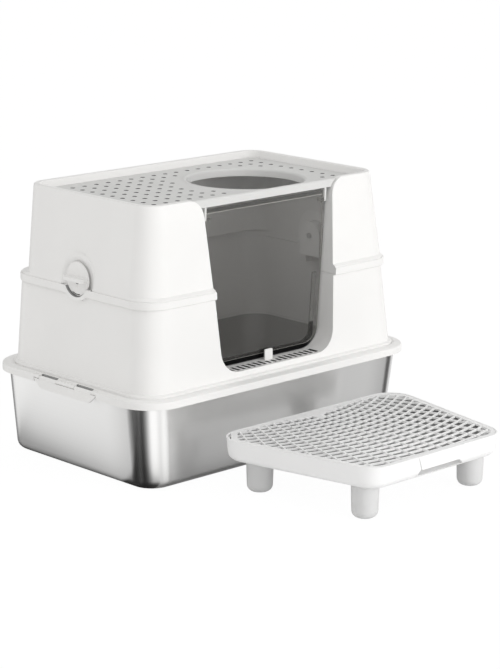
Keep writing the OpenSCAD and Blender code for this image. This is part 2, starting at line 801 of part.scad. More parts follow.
module knob(side) {
    x_face = x_knob + knob_t;
    fin_h = 12;
    mark_drop = 12;     // from the knob's middle down to its mark
    color("whitesmoke") on_side(side) difference() {
        union() {
            bar_x(x_knob, x_face - 0.8, knob_d / 2, 0, z_knob);
            bar_x(x_face - 0.9, x_face, knob_d / 2 - 0.8, 0, z_knob);
            bar_x(x_case + case_wall + seat, x_knob + 1, shaft_r, 0, z_knob);
            difference() {
                block([x_face - 1, -knob_d / 2 + 2, z_knob - 3], [x_face + fin_h, knob_d / 2 - 2, z_knob + 3]);
                for (s = [-1, 1]) translate([x_face + fin_h, s * (knob_d / 2 - 2), z_knob]) rotate([0, 0, 45])
                    cube([7, 7, 20], center = true);
            }
        }
        bar_x(x_case, x_case + 16, screw_r + run, 0, z_knob);
        translate([x_face + eps, 0, z_knob - mark_drop]) rotate([0, -90, 0]) cylinder(r = 1.6, h = 0.8, $fn = 24);
    }
}

module cam(side) {
    color("dimgray") on_side(side) difference() {
        union() {
            bar_x(x_cam, x_cam + cam_t, hub_r, 0, z_knob);
            block([x_cam, -cam_w / 2, z_knob - cam_len], [x_cam + cam_t, cam_w / 2, z_knob]);
        }
        bar_x(x_cam - 1, x_cam + cam_t + 1, shaft_r + run, 0, z_knob);
    }
}

// Arched case inside the cover that keeps the cam clean and carries the shaft's end
module lock_case(side) {
    half = case_w / 2;
    z0 = z_ledge - 12;
    color("whitesmoke") on_side(side) difference() {
        case_solid(x_case, x_floor - wall, half, z0);
        case_solid(x_case + case_wall, x_floor, half - case_wall, z0 - 1);
        bar_x(x_case - 1, x_case + 10, screw_r + 0.3, 0, z_knob);
    }
}

module case_solid(x0, x1, half, z0) {
    bar_x(x0, x1, half, 0, z_knob);
    block([x0, -half, z0], [x1, half, z_knob]);
}

module knob_screw(side) {
    color("silver") on_side(side) difference() {
        union() {
            bar_x(x_case - 2.8, x_case - 0.3, 4.6, 0, z_knob);
            bar_x(x_case - 0.4, x_case + 14, screw_r, 0, z_knob);
        }
        block([x_case - 3, -3.5, z_knob - 0.6], [x_case - 1.8, 3.5, z_knob + 0.6]);
        block([x_case - 3, -0.6, z_knob - 3.5], [x_case - 1.8, 0.6, z_knob + 3.5]);
    }
}

// ---- step ---------------------------------------------------------------------

// Plan outline of the tray, stepped in by t: a trapezium with round corners
function tray_plan(t, r) = let (hb = step_back / 2 - t, hf = step_front / 2 - t, hd = step_dep / 2 - t,
    lean = atan((hb - hf) / (2 * hd)))
    mirrored(concat(arc(hf - r * (1 + tan(lean) * 0.9), -hd + r, r, -90, -lean, seg),
        arc(hb - r * (1 - tan(lean) * 0.9), hd - r, r, -lean, 90, seg)));

function tray_ring(t, r, z) = [for (p = tray_plan(t, r)) [step_x + p[0], y_step + p[1], z]];

module tray_loft(rings) {
    n = len(rings[0]);
    last = len(rings) - 1;
    polyhedron(points = [for (q = rings) each q],
        faces = concat([[for (j = [0 : n - 1]) j]],
            [for (i = [0 : last - 1]) for (j = [0 : n - 1]) each strip(i, i + 1, j, n)],
            [[for (j = [n - 1 : -1 : 0]) last * n + j]]));
}

// Rings up the tray's rounded foot, for a skin stepped in by t
function tray_foot(t) = [for (k = [0 : 4]) let (a = 90 * k / 4, r = tray_round - t)
    tray_ring(t + 2.5 + r * (1 - sin(a)), tray_corner - t - 2.5 - r * (1 - sin(a)), z_tray + tray_round - r * cos(a))];

rim_w = 6;          // width of the tray's rim round the grid
z_rest = step_h - grid_t - 0.6;

module step_tray() {
    t = tray_wall;
    inner = tray_foot(t);
    color("white") difference() {
        union() {
            tray_loft(concat(tray_foot(0),
                [tray_ring(0.8, tray_corner - 0.8, step_h - 1.4), tray_ring(0, tray_corner, step_h - 0.9),
                 tray_ring(0.4, tray_corner - 0.4, step_h),
                 tray_ring(t + 0.4, tray_corner - t - 0.4, step_h),
                 tray_ring(t + 0.4, tray_corner - t - 0.4, z_rest),
                 tray_ring(rim_w, tray_corner - rim_w, z_rest),
                 tray_ring(rim_w, tray_corner - rim_w, z_rest - 2),
                 tray_ring(t + 0.8, tray_corner - t - 0.8, z_rest - 5)],
                [for (k = [4 : -1 : 0]) inner[k]]));
            for (p = leg_places) translate([p[0], p[1], z_tray]) cylinder(r = boss_r, h = boss_h);
        }
        for (p = leg_places) translate([p[0], p[1], z_tray - 1]) cylinder(r = screw_r + run, h = boss_h + 2);
        tab_cut(0.8, notch_h);
    }
}

// Space for the grid's lift tab in the tray's front wall
module tab_cut(gap, low) {
    translate([step_x, y_step - step_dep / 2 + cut_reach, 0]) rotate([90, 0, 0]) linear_extrude(20)
        polygon(mirrored([[tab_w / 2 - tab_narrow / 2 + gap, step_h - tab_h],
            [tab_w / 2 + gap, step_h + 1]]));
    translate([step_x, y_step - step_dep / 2 + cut_reach, 0]) rotate([90, 0, 0]) linear_extrude(20)
        polygon(mirrored([[tab_w / 2 + 3, step_h - tab_h - low],
            [tab_w / 2 - tab_narrow / 2 + gap, step_h - tab_h + eps]]));
}

// Middles of the four legs
leg_places = [for (sy = [-1, 1]) for (sx = [-1, 1])
    let (y = sy * (step_dep / 2 - leg_in), f = (y + step_dep / 2) / step_dep,
        half = (step_front + (step_back - step_front) * f) / 2)
    [step_x + sx * (half - (sy < 0 ? leg_in_front : leg_in_back)), y_step + y]];

module step_leg(i) {
    r = leg_d / 2;
    fillet = 11;
    h = z_tray - 0.05;
    p = leg_places[i];
    color("lightgray") translate([p[0], p[1], 0]) difference() {
        rotate_extrude($fn = 72) polygon(concat([[0, 0]], arc(r - 1.5 - fillet, fillet, fillet, -90, 0, 8),
            [[r - 0.4, h - 4], [r, h - 3.4], [r, h], [0, h]]));
        translate([0, 0, leg_wall]) cylinder(r = leg_hollow_r, h = h - 2 * leg_wall);
        translate([0, 0, -1]) cylinder(r = leg_bore_r, h = leg_wall + 2);
        cylinder(r = screw_r + run, h = h + 1);
    }
}

// Each leg's screw comes up through the leg's hollow foot into the tray's boss
module leg_screws() {
    color("silver") for (p = leg_places) translate([p[0], p[1], 0]) {
        translate([0, 0, z_tray - leg_wall - seat - head_h]) cylinder(r = head_r, h = head_h);
        translate([0, 0, z_tray - leg_wall - 1]) cylinder(r = screw_r, h = leg_wall + boss_h);
    }
}

// Cuts a convex outline with the line through a that faces n
function side_of(p, a, n) = (p[0] - a[0]) * n[0] + (p[1] - a[1]) * n[1];
function cut_by(poly, a, n) = let (m = len(poly)) [for (i = [0 : m - 1])
    let (p = poly[i], q = poly[(i + 1) % m], dp = side_of(p, a, n), dq = side_of(q, a, n))
    each concat(dp <= 0 ? [p] : [], dp * dq < 0 ? [p + (q - p) * dp / (dp - dq)] : [])];
function cut_all(poly, edge, i = 0) = i >= len(edge) || len(poly) < 3 ? poly :
    let (a = edge[i], b = edge[(i + 1) % len(edge)], n = [b[1] - a[1], a[0] - b[0]])
    cut_all(norm(n) < 0.01 ? poly : cut_by(poly, a, n), edge, i + 1);

function area(poly) = len(poly) < 3 ? 0 : abs([for (i = 0, s = 0; i <= len(poly);
    s = s + (i < len(poly) ? poly[i][0] * poly[(i + 1) % len(poly)][1]
        - poly[(i + 1) % len(poly)][0] * poly[i][1] : 0), i = i + 1) s][len(poly)]) / 2;

// Grid outline, and the window that the ribs fill, in the tray's own plan
grid_edge = tray_wall + 0.4 + grid_gap;
function corner_cut(t) = step_back / 2 - t - grid_corner;
function window() = let (t = grid_edge + 7, top = step_dep / 2 - t, x0 = corner_cut(t))
    cut_by(cut_by(tray_plan(t, tray_corner - t), [x0, top], [1, corner_slope]), [-x0, top], [-1, corner_slope]);

// One opening of the grid between ribs k and k + 1 and arcs m and m + 1
function cell(k, m) = let (r0 = m * arc_pitch + rib_w / 2, r1 = (m + 1) * arc_pitch - rib_w / 2,
    d0 = asin(rib_w / 2 / r0), d1 = asin(rib_w / 2 / r1), a0 = rib_angle(k), a1 = rib_angle(k + 1))
    [[r0 * cos(a0 + d0), fan_reach + r0 * sin(a0 + d0)], [r0 * cos(a1 - d0), fan_reach + r0 * sin(a1 - d0)],
     [r1 * cos(a1 - d1), fan_reach + r1 * sin(a1 - d1)], [r1 * cos(a0 + d1), fan_reach + r1 * sin(a0 + d1)]];

function rib_angle(k) = -90 + (k - 0.5) * fan_angle;

pad_drop = 20;
pad_r = (pad_w * pad_w / 4 + pad_drop * pad_drop) / (2 * pad_drop);
pad_mid = [0, step_dep / 2 - grid_edge - 7 - pad_drop + pad_r];
row_near = floor((fan_reach - step_dep / 2) / arc_pitch) - 1;
row_far = ceil((fan_reach + step_dep / 2) / arc_pitch);
fan_half = ceil(fan_spread / fan_angle);

// Openings between ribs k0 and k1 that the window and the plain pad leave
function grid_cells(k0, k1) = let (w = window())
    [for (m = [row_near : row_far]) for (k = [k0 : k1 - 1])
        let (c = cut_all(cell(k, m), w), mid = len(c) < 3 ? [0, 0] : (c[0] + c[2]) / 2)
        if (area(c) > 12 && norm(mid - pad_mid) > pad_r) c];

// Grid outline with its two back corners cut off
function grid_outline() = let (t = grid_edge, top = step_dep / 2 - t, x0 = corner_cut(t))
    cut_by(cut_by(tray_plan(t, tray_corner - t), [x0, top], [1, corner_slope]), [-x0, top], [-1, corner_slope]);

// The part of an outline between the middles of ribs k0 and k1, and a little over
function between(poly, k0, k1) = let (a0 = rib_angle(k0), a1 = rib_angle(k1), reach = rib_w / 5,
    n0 = [sin(a0), -cos(a0)], n1 = [-sin(a1), cos(a1)], hub = [0, fan_reach])
    cut_by(cut_by(poly, hub + reach * n0, n0), hub + reach * n1, n1);

// Grid plate between ribs k0 and k1
module grid_sector(k0, k1) {
    rim = between(grid_outline(), k0, k1);
    cells = grid_cells(k0, k1);
    n = len(rim);
    starts = [for (i = 0, s = n; i < len(cells); s = s + len(cells[i]), i = i + 1) s];
    linear_extrude(grid_t) polygon(
        points = concat(rim, [for (c = cells) each c]),
        paths = concat([[for (j = [0 : n - 1]) j]],
            [for (i = [0 : len(cells) - 1]) [for (j = [0 : len(cells[i]) - 1]) starts[i] + j]]));
}

module step_grid() {
    z0 = step_h - grid_t - 0.3;
    splits = [-fan_half, -4, -1, 2, 5, fan_half + 1];
    color("white") {
        translate([step_x, y_step, z0])
            for (i = [0 : len(splits) - 2]) grid_sector(splits[i], splits[i + 1]);
        lift_tab(z0);
    }
}

// Tab over the front of the tray that the grid is lifted by
module lift_tab(z0) {
    y0 = y_step - step_dep / 2;
    translate([step_x, y0 + 2.8, 0]) rotate([90, 0, 0]) linear_extrude(2.4)
        polygon(mirrored([[tab_w / 2 - tab_narrow / 2, step_h - tab_h], [tab_w / 2, z0 + grid_t]]));
    half = tab_w / 2 - tab_narrow / 4;
    block([step_x - half, y0 + 1, z0], [step_x + half, y0 + 8, z0 + grid_t]);
}

steel_pan();
collar();
clip(-1);  // left_clip
clip(1);  // right_clip
clip_pins();
lower_shell();
upper_shell();
lid_plate();
hinge_pins();
door_panel();
door_seal();
latch_tab();
knob(-1);  // left_knob
knob(1);  // right_knob
cam(-1);  // left_cam
cam(1);  // right_cam
lock_case(-1);  // left_lock_case
lock_case(1);  // right_lock_case
knob_screw(-1);  // left_knob_screw
knob_screw(1);  // right_knob_screw
step_tray();
step_grid();
step_leg(0);  // step_leg_front_left
step_leg(1);  // step_leg_front_right
step_leg(2);  // step_leg_back_left
step_leg(3);  // step_leg_back_right
leg_screws();
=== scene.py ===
"""Looks of a covered litter box: a steel pan, a plastic collar with side clips, a
two-storey enclosure with a smoked flap and a round top entry, and a step with a grid.
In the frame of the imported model: X along the long side, the door faces -Y, Z up. The
stage and the edges' rounding are in metres, the shapes in millimetres times MM."""

import json
import math

import bmesh
import bpy
from mathutils import Euler, Matrix, Vector

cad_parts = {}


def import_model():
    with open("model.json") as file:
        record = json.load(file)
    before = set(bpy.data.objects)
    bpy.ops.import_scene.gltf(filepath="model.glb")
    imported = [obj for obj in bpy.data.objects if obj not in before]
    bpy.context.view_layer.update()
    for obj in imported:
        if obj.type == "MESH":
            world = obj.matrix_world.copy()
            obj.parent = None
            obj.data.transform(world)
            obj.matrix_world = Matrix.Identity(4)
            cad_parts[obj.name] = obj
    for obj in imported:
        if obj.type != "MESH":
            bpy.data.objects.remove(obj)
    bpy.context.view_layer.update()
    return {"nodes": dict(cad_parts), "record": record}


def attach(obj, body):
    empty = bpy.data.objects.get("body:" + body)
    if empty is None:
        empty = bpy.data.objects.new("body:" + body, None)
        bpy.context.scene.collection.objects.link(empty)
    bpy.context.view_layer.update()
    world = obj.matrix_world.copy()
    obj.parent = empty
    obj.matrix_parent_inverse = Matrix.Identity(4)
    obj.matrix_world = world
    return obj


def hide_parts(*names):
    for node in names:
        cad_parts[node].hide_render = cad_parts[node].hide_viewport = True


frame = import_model()
NODES = frame["nodes"]
BODY_OF = {n: b for b, names in frame["record"]["behaviour"]["bodies"].items() for n in names}
SLOT_OF = {n: o.data.materials[0].name for n, o in NODES.items()}
MM = 0.001
SIDES = {"left": -1, "right": 1}

# ---- shader nodes -------------------------------------------------------------------


def node(tree, kind, **settings):
    """A shader node with its settings; keys that name a socket set its value."""
    made = tree.nodes.new(kind)
    for key, value in settings.items():
        if hasattr(made, key):
            setattr(made, key, value)
        else:
            made.inputs[key.replace("_", " ")].default_value = value
    return made


def ramp(tree, stops, source):
    """Colour ramp through (place, colour or grey) stops."""
    made = tree.nodes.new("ShaderNodeValToRGB")
    made.color_ramp.interpolation = "EASE"
    points = made.color_ramp.elements
    while len(points) < len(stops):
        points.new(1.0)
    for point, (place, colour) in zip(points, stops):
        point.position = place
        point.color = (*colour, 1) if isinstance(colour, tuple) else (colour, colour, colour, 1)
    tree.links.new(source, made.inputs[0])
    return made.outputs[0]


def maths(tree, operation, *sources):
    """A Math node fed by sockets and numbers."""
    made = node(tree, "ShaderNodeMath", operation=operation)
    for i, source in enumerate(sources):
        if isinstance(source, (int, float)):
            made.inputs[i].default_value = source
        else:
            tree.links.new(source, made.inputs[i])
    return made.outputs[0]


def mixed(tree, share, first, second):
    """Mix Shader of two shaders, by a number or a socket."""
    made = tree.nodes.new("ShaderNodeMixShader")
    if isinstance(share, float):
        made.inputs[0].default_value = share
    else:
        tree.links.new(share, made.inputs[0])
    tree.links.new(first.outputs[0], made.inputs[1])
    tree.links.new(second.outputs[0], made.inputs[2])
    return made


# ---- camera, lamps and stage --------------------------------------------------------

CAMERA_AT = (-2.4291, -2.6645, 1.0664)
CAMERA_TURN = (76.115, -0.227, -43.486)    # degrees
LENS = 121.17
SENSOR_WIDTH = 36
CLIP_END = 50


def camera():
    data = bpy.data.cameras.new("camera")
    data.lens = LENS
    data.sensor_width = SENSOR_WIDTH
    data.clip_end = CLIP_END
    eye = bpy.data.objects.new("camera", data)
    eye.rotation_euler = Euler([math.radians(a) for a in CAMERA_TURN])
    eye.location = CAMERA_AT
    bpy.context.scene.collection.objects.link(eye)
    bpy.context.scene.camera = eye


# Brightness of the soft daylight by the height of its direction: a wide low window wall
DAYLIGHT = [(0.0, 0.93), (0.52, 0.93), (0.65, 0.86), (1.0, 0.55)]
DAYLIGHT_TINT = (1, 0.995, 0.985)
# The studio as metal sees it, by compass direction of the mirrored ray: a share of the
# full turn from -X through -Y, +X and +Y, with its brightness
STUDIO = [(0.0, 0.5), (0.018, 0.45), (0.034, 0.05), (0.055, 0.05), (0.09, 0.22), (0.12, 0.6),
          (0.15, 1.0), (0.2, 1.0), (0.258, 0.78), (0.3, 1.0), (0.345, 1.0), (0.351, 0.5),
          (0.357, 0.1), (0.366, 0.02), (0.372, 0.3), (0.38, 0.8), (0.4, 0.55), (0.43, 0.08),
          (0.48, 0.08), (0.52, 0.65), (0.64, 0.62), (0.7, 0.2), (0.74, 0.25), (0.78, 0.8),
          (0.86, 0.86), (0.866, 0.72), (0.88, 0.45), (0.905, 0.2), (0.93, 0.06), (0.968, 0.05),
          (0.984, 0.45)]
STUDIO_STRENGTH = 1.2


def world():
    """Soft daylight on the object, the studio in metal, and plain white behind."""
    made = bpy.data.worlds.new("studio")
    bpy.context.scene.world = made
    made.use_nodes = True
    tree = made.node_tree
    tree.nodes.clear()
    path = tree.nodes.new("ShaderNodeLightPath")
    way = tree.nodes.new("ShaderNodeTexCoord")
    split = tree.nodes.new("ShaderNodeSeparateXYZ")
    tree.links.new(way.outputs["Generated"], split.inputs[0])
    turn = maths(tree, "ARCTAN2", split.outputs["Y"], split.outputs["X"])
    share = maths(tree, "MULTIPLY_ADD", turn, 0.5 / math.pi, 0.5)
    height = maths(tree, "MULTIPLY_ADD", split.outputs["Z"], 0.5, 0.5)
    soft = node(tree, "ShaderNodeBackground", Strength=1.0)
    mirror = node(tree, "ShaderNodeBackground", Strength=STUDIO_STRENGTH)
    white = node(tree, "ShaderNodeBackground", Strength=1.0, Color=(1, 1, 1, 1))
    warm = [(place, tuple(grey * c for c in DAYLIGHT_TINT)) for place, grey in DAYLIGHT]
    tree.links.new(ramp(tree, warm, height), soft.inputs["Color"])
    tree.links.new(ramp(tree, STUDIO, share), mirror.inputs["Color"])
    gloss = mixed(tree, path.outputs["Is Glossy Ray"], soft, mirror)
    seen = maths(tree, "MAXIMUM", path.outputs["Is Camera Ray"],
                 path.outputs["Is Transmission Ray"])
    back = mixed(tree, seen, gloss, white)
    out = tree.nodes.new("ShaderNodeOutputWorld")
    tree.links.new(back.outputs[0], out.inputs[0])


# Name, place, diameter and watts
LAMPS = [("key", (1.0, -3.6, 1.25), 2.4, 55), ("top", (-1.6, 0.6, 2.4), 2.0, 8)]
LAMP_AIM = (0, 0, 0.2)


def lamp(name, at, size, power):
    data = bpy.data.lights.new(name, "AREA")
    data.shape = "DISK"
    data.size = size
    data.energy = power
    made = bpy.data.objects.new(name, data)
    made.visible_glossy = False
    made.location = at
    made.rotation_euler = (Vector(LAMP_AIM) - Vector(at)).to_track_quat("-Z", "Y").to_euler()
    bpy.context.scene.collection.objects.link(made)


FLOOR_SIZE = 15
FLOOR_DROP = 0.0005
FLOOR_PAINT = 0.95
FLOOR_GLOW = 0.95        # share of the floor that shows plain white, over its lit paint
GLOW_STRENGTH = 1.02
PAN_HALF = (0.272, 0.174)
# What the floor lets through to metal, by the distance from the pan's foot times DIM_RATE:
# painted shade in the steel's reflection, darker close to the pan
FOOT_DIM = [(0.0, 0.28), (0.12, 0.5), (0.25, 0.75), (0.5, 0.93), (0.8, 1.0)]
DIM_RATE = 6.0
BEHIND = (0.8, 0.03)     # slope along Y and start of the dim part's longer reach
# A dark patch painted on the floor beside the left front corner, for mirrored rays only: a
# painted dark reflection in the steel
MIRRORED_DARK_PATCH = [(0.0, 1.0), (0.14, 0.07), (0.86, 0.07), (1.0, 1.0)]
MIRRORED_DARK_SPAN = (9.09, 1.864)    # rate along Y and start: from y = -0.205 to -0.095
MIRRORED_DARK_TO_X = -0.25


def floor():
    """White floor. Metal sees the studio past it, dimmed close round the pan's foot and by a dark
    patch: painted shade and a painted dark reflection.
    """
    bm = bmesh.new()
    bmesh.ops.create_grid(bm, x_segments=1, y_segments=1, size=FLOOR_SIZE)
    made = bpy.data.objects.new("floor", bpy.data.meshes.new("floor"))
    bm.to_mesh(made.data)
    bm.free()
    made.location.z = -FLOOR_DROP
    bpy.context.scene.collection.objects.link(made)
    look = bpy.data.materials.new("floor_white")
    look.use_nodes = True
    tree = look.node_tree
    tree.nodes.clear()
    path = tree.nodes.new("ShaderNodeLightPath")
    paint = node(tree, "ShaderNodeBsdfDiffuse", Color=(FLOOR_PAINT, FLOOR_PAINT, FLOOR_PAINT, 1))
    glow = node(tree, "ShaderNodeEmission", Strength=GLOW_STRENGTH)
    lit = mixed(tree, FLOOR_GLOW, paint, glow)
    place = tree.nodes.new("ShaderNodeTexCoord")
    split = tree.nodes.new("ShaderNodeSeparateXYZ")
    tree.links.new(place.outputs["Object"], split.inputs[0])
    away = [maths(tree, "SUBTRACT", maths(tree, "ABSOLUTE", split.outputs[i]), PAN_HALF[i])
            for i in (0, 1)]
    # behind the pan's left end the dim part reaches further out
    behind = maths(tree, "MULTIPLY", maths(tree, "LESS_THAN", split.outputs["X"], -PAN_HALF[0]),
                   maths(tree, "MULTIPLY_ADD", split.outputs["Y"], *BEHIND))
    far = maths(tree, "MULTIPLY", maths(tree, "MAXIMUM", *away), DIM_RATE)
    dim = ramp(tree, FOOT_DIM, maths(tree, "SUBTRACT", far, behind))
    # painted dark reflection: a patch of the floor that only mirrored rays see
    dark_patch = ramp(tree, MIRRORED_DARK_PATCH, maths(tree, "MULTIPLY_ADD", split.outputs["Y"], *MIRRORED_DARK_SPAN))
    past_dark_patch = maths(tree, "GREATER_THAN", split.outputs["X"], MIRRORED_DARK_TO_X)
    dark_patch = maths(tree, "MAXIMUM", dark_patch, past_dark_patch)
    clear = tree.nodes.new("ShaderNodeBsdfTransparent")
    tree.links.new(maths(tree, "MULTIPLY", dim, dark_patch), clear.inputs["Color"])
    back = mixed(tree, path.outputs["Is Camera Ray"], paint, lit)
    shown_floor = mixed(tree, path.outputs["Is Glossy Ray"], back, clear)
    out = tree.nodes.new("ShaderNodeOutputMaterial")
    tree.links.new(shown_floor.outputs[0], out.inputs[0])
    made.data.materials.append(look)


# ---- finishes -----------------------------------------------------------------------


def surface(name, colour, roughness, **sockets):
    """A Principled material; returns it with its tree and its shader."""
    made = bpy.data.materials.new(name)
    made.use_nodes = True
    tree = made.node_tree
    shader = tree.nodes["Principled BSDF"]
    shader.inputs["Base Color"].default_value = (*colour, 1)
    shader.inputs["Roughness"].default_value = roughness
    for key, value in sockets.items():
        shader.inputs[key.replace("_", " ")].default_value = value
    return made, tree, shader


def grain(tree, scale, stretch=(1, 1, 1), detail=3.0):
    """Noise on object coordinates."""
    place = tree.nodes.new("ShaderNodeTexCoord")
    shape = node(tree, "ShaderNodeMapping", Scale=stretch)
    noise = node(tree, "ShaderNodeTexNoise", Scale=scale, Detail=detail)
    tree.links.new(place.outputs["Object"], shape.inputs[0])
    tree.links.new(shape.outputs[0], noise.inputs["Vector"])
    return noise.outputs[0]


def bump(tree, shader, source, height):
    made = node(tree, "ShaderNodeBump", Strength=1.0, Distance=height)
    tree.links.new(source, made.inputs["Height"])
    tree.links.new(made.outputs[0], shader.inputs["Normal"])


MOULD_GRAIN = 900
MOULD_GRAIN_DEPTH = 0.00002
FLOW_SCALE = 6
GLOSS_SCALE = 35


def moulded(name, colour, roughness=0.42, tint=0.02, **sockets):
    """Injection-moulded plastic: a fine spark-eroded grain, faint flow shade and uneven gloss."""
    made, tree, shader = surface(name, colour, roughness, **sockets)
    darker = tuple(c * (1 - tint) for c in colour)
    flow = ramp(tree, [(0.35, darker), (0.65, colour)], grain(tree, FLOW_SCALE))
    tree.links.new(flow, shader.inputs["Base Color"])
    gloss = ramp(tree, [(0.3, roughness - 0.05), (0.7, roughness + 0.06)],
                 grain(tree, GLOSS_SCALE))
    tree.links.new(gloss, shader.inputs["Roughness"])
    bump(tree, shader, grain(tree, MOULD_GRAIN, detail=2.0), MOULD_GRAIN_DEPTH)
    return made


def brushed(name, colour, roughness, stretch, depth, anisotropy=0.0, turn=0.0):
    """Steel with fine lines ground along the walls."""
    made, tree, shader = surface(name, colour, roughness, Metallic=1.0, Anisotropic=anisotropy,
                                 Anisotropic_Rotation=turn)
    lines = grain(tree, 1.0, stretch, detail=4.0)
    shade = ramp(tree, [(0.3, tuple(c * 0.98 for c in colour)), (0.7, colour)], lines)
    tree.links.new(shade, shader.inputs["Base Color"])
    gloss = ramp(tree, [(0.3, roughness - 0.015), (0.7, roughness + 0.02)], lines)
    tree.links.new(gloss, shader.inputs["Roughness"])
    around = node(tree, "ShaderNodeTangent", direction_type="RADIAL", axis="Z")
    tree.links.new(around.outputs[0], shader.inputs["Tangent"])
    bump(tree, shader, lines, depth)
    return made


def smoked(name, colour, roughness, **sockets):
    """Clear plastic with a smoke tint."""
    return surface(name, colour, roughness, **sockets)[0]


SHEET_DEPTH = 0.0000008    # of the lines on sheet steel
WIRE_DEPTH = 0.000004      # of the lines on wire and screws
LOOKS = {
    # the record's slots
    "steel": brushed("brushed_steel", (0.88, 0.877, 0.868), 0.29, (1.5, 1.5, 1600), SHEET_DEPTH,
                     anisotropy=0.85, turn=0.25),
    "shell_plastic": moulded("shell_white", (0.87, 0.865, 0.855)),
    # the lid's pale grey, set darker still as painted shade of the plate between the curbs
    "lid_plastic": moulded("lid_grey", (0.68, 0.68, 0.67), 0.5),
    "smoked_acrylic": smoked("smoked_acrylic", (0.168, 0.163, 0.154), 0.06, Alpha=0.2,
                             Specular_IOR_Level=0.8),
    "seal_rubber": moulded("seal_black", (0.003, 0.003, 0.003), 0.6, 0.3,
                           Specular_IOR_Level=0.1),
    "pin_steel": brushed("pin_steel", (0.45, 0.45, 0.45), 0.35, (900, 3, 900), WIRE_DEPTH),
    "cam_plastic": moulded("cam_grey", (0.12, 0.12, 0.12), 0.45),
    "screw_steel": brushed("screw_steel", (0.6, 0.6, 0.6), 0.3, (600, 600, 600), WIRE_DEPTH),
    "step_plastic": moulded("step_white", (0.93, 0.93, 0.93), 0.38),
    "leg_plastic": moulded("leg_grey", (0.70, 0.70, 0.70), 0.48),
    # painted shadow lines on the knobs, and faces with painted shade or highlight
    # painted shadow: black lines on the knobs' faces
    "mark": moulded("mark_grey", (0.05, 0.05, 0.05), 0.5),
    # painted shade, nearly black, on the walls of the sill's slots
    "shade": moulded("slot_painted_shade", (0.06, 0.06, 0.06), 0.6),
    # painted shade, dark grey, on the walls of the lid's drain holes
    "drain_hole_shade": moulded("drain_hole_painted_shade", (0.16, 0.16, 0.16), 0.6),
    # painted shade: the seal's upper legs in mid grey instead of black
    "leg_grey": moulded("seal_leg_grey", (0.2, 0.2, 0.19), 0.6),
    # painted highlight: lighter smoke on the flap's edges and on a line along its head
    "panel_painted_highlight": smoked("smoked_painted_highlight", (0.5, 0.49, 0.46), 0.2, Alpha=0.75),
    # painted shade: darker smoke on the strip of the flap over that line
    "panel_head_shade": smoked("smoked_painted_shade", (0.1, 0.1, 0.095), 0.1, Alpha=0.6),
    # painted shade, mid grey, on the walls of the collar's clip slots
    "clip_slot_shade": moulded("clip_slot_painted_shade", (0.4, 0.4, 0.4), 0.5),
    # the pan's inside: rougher steel, and darker as painted shade
    "steel_inside_painted_shade": brushed("steel_inside_painted_shade", (0.5, 0.5, 0.5), 0.45, (900, 900, 900), SHEET_DEPTH),
    # painted shade, grey, inside the step's tray and in the cups round the knobs
    "tray_shade": moulded("tray_grey", (0.33, 0.33, 0.33), 0.5),
}

# ---- making pieces ------------------------------------------------------------------


def shown(bm, name, body, look, slot, *replaced, even=True):
    """Makes a piece of a finished mesh and gives it its body, finish and stand-in."""
    mesh = bpy.data.meshes.new(name)
    bm.to_mesh(mesh)
    bm.free()
    mesh.shade_smooth()
    made = bpy.data.objects.new(name, mesh)
    bpy.context.scene.collection.objects.link(made)
    mesh.materials.append(look)
    if even:
        flat = made.modifiers.new("even", "WEIGHTED_NORMAL")
        flat.keep_sharp = True
    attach(made, body)
    if replaced:
        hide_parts(*replaced)
    return made


def cut(bm, at, normal, **settings):
    """Splits every face that a plane meets."""
    bmesh.ops.bisect_plane(bm, geom=bm.verts[:] + bm.edges[:] + bm.faces[:],
                           plane_co=at, plane_no=normal, **settings)


# ---- faces with painted shade or highlight --------------------------------------------
# Each test gets a face and its middle in millimetres, and gives the place of its painted
# shade or highlight in the piece's row of SHADED, or 0 for the piece's own finish.

KNOB_Z = 309.0
CUP_FROM_X = 258
CUP_R = (27.3, 31)
DRAIN_Z = (424.6, 427.4)
DRAIN_WALL_AREA = 3.6 * MM * MM
SILL_SLOT_Z = (158.5, 162)
SILL_SLOT_Y = (-171, -145)
SILL_SLOT_X = 122
CLIP_SLOT_Z = (137, 148)
CLIP_SLOT_X = (290.5, 296)
CLIP_SLOT_AWAY = (20, 65)      # along Y from the clips' middle
CLIP_MIDDLE_Y = -3
STEP_MIDDLE = (9.5, -373)
TRAY_Z = (55, 84.6)
TRAY_FROM_Y = -465
# heights of the line painted bright along the flap's head
PANEL_LINE = (413.6, 414.3)
SEAL_LEG_FROM = 205


def between(value, limits):
    return limits[0] < value < limits[1]


def upright(face):
    return abs(face.normal.z) < 0.2


# the lid's drain hole walls, which take painted shade
def drain_wall(face, at):
    return upright(face) and between(at.z, DRAIN_Z) and face.calc_area() < DRAIN_WALL_AREA


def slot_or_cup_wall(face, at):
    """1 for the walls of the sill's slots, 2 for those of the cups round the knobs: both are
    painted darker as shade.
    """
    y, z = at.y, at.z - KNOB_Z
    inwards = face.normal.y * y + face.normal.z * z < 0 and abs(face.normal.x) < 0.3
    if inwards and abs(at.x) > CUP_FROM_X and between(math.hypot(y, z), CUP_R):
        return 2
    return (upright(face) and between(at.z, SILL_SLOT_Z) and between(at.y, SILL_SLOT_Y)
            and abs(at.x) < SILL_SLOT_X)


# the collar's clip slot walls, which take painted shade
def clip_slot_wall(face, at):
    return (upright(face) and between(at.z, CLIP_SLOT_Z) and between(abs(at.x), CLIP_SLOT_X)
            and between(abs(at.y - CLIP_MIDDLE_Y), CLIP_SLOT_AWAY))


# the tray's inner faces behind TRAY_FROM_Y, which take painted shade
def tray_inside(face, at):
    x, y = at.x - STEP_MIDDLE[0], at.y - STEP_MIDDLE[1]
    inwards = face.normal.x * x + face.normal.y * y < 0 and abs(face.normal.z) < 0.9
    return between(at.z, TRAY_Z) and at.y > TRAY_FROM_Y and (face.normal.z > 0.4 or inwards)


